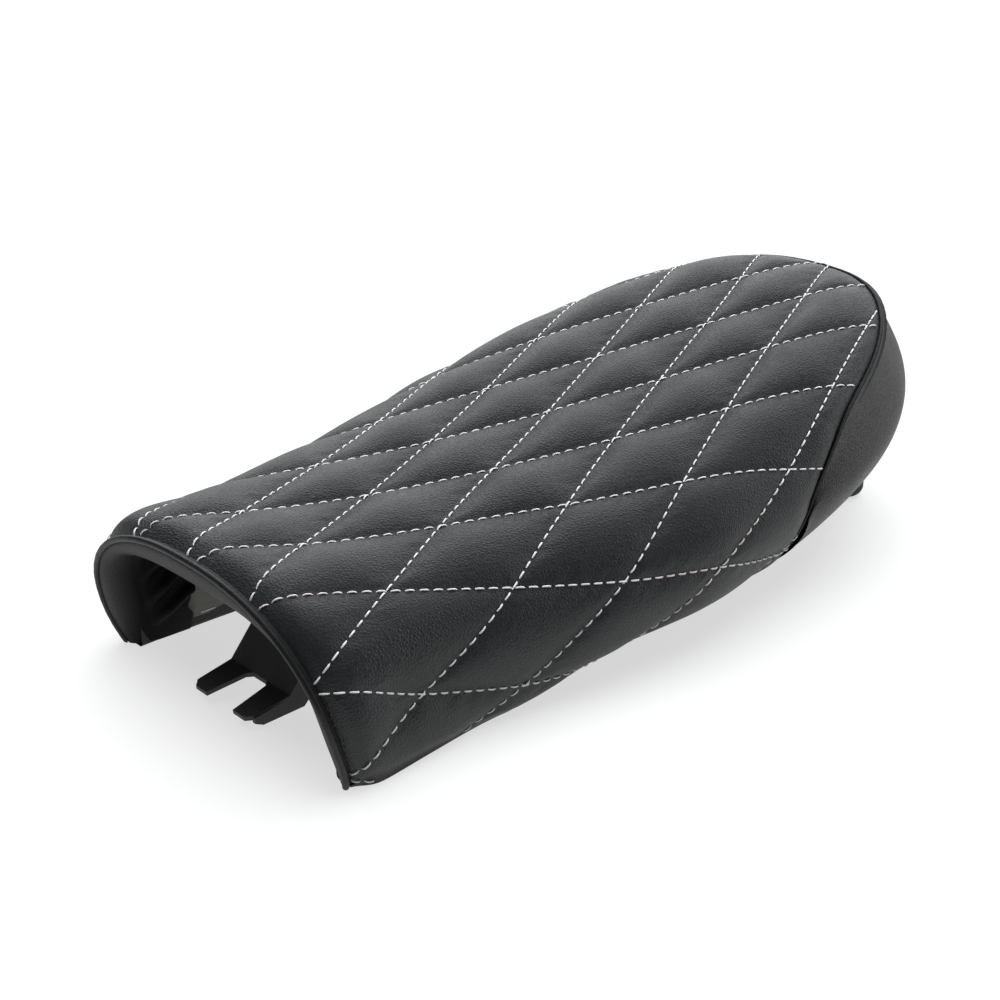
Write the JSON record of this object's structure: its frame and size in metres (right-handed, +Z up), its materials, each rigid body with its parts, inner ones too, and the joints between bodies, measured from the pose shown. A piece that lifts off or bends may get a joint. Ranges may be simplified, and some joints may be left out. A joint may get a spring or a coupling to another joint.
{
  "type": "motorcycle seat",
  "caption": "Quilted cafe-style motorcycle seat: padded vinyl cover over a moulded pan, with a forked front tongue and a threaded rear bracket with rubber bumpers.",
  "frame": {"origin": "middle of the seat's footprint, on the plane that the front skirts and the rear bumpers rest on", "axes": "+X forward along the seat, +Y to the rider's left, +Z up"},
  "size_m": [0.536, 0.2732, 0.1472],
  "materials": {
    "vinyl": "grained black vinyl, satin",
    "wadding": "soft polyester wadding",
    "cord": "piping cord",
    "foam": "polyurethane foam",
    "pan_plastic": "moulded grey plastic",
    "black_steel": "satin black paint",
    "zinc_steel": "zinc plated",
    "rubber": "matt black rubber"
  },
  "bodies": {
    "root": {"top_panel": "vinyl", "quilt_wadding": "wadding", "hem_strips": "vinyl", "rear_panel": "vinyl", "front_facing": "vinyl", "front_welt": "vinyl", "front_welt_cord": "cord", "rear_welt": "vinyl", "rear_welt_cord": "cord", "foam_cushion": "foam", "base_pan": "pan_plastic", "tongue_bracket": "black_steel", "tongue_backing_plate": "zinc_steel", "tongue_rivets": "zinc_steel", "rear_bracket": "black_steel", "rear_bracket_screws": "zinc_steel", "rear_bumpers": "rubber", "rear_bumper_screws": "zinc_steel", "rail_bumpers": "rubber", "cover_staples": "zinc_steel"}
  },
  "joints": []
}
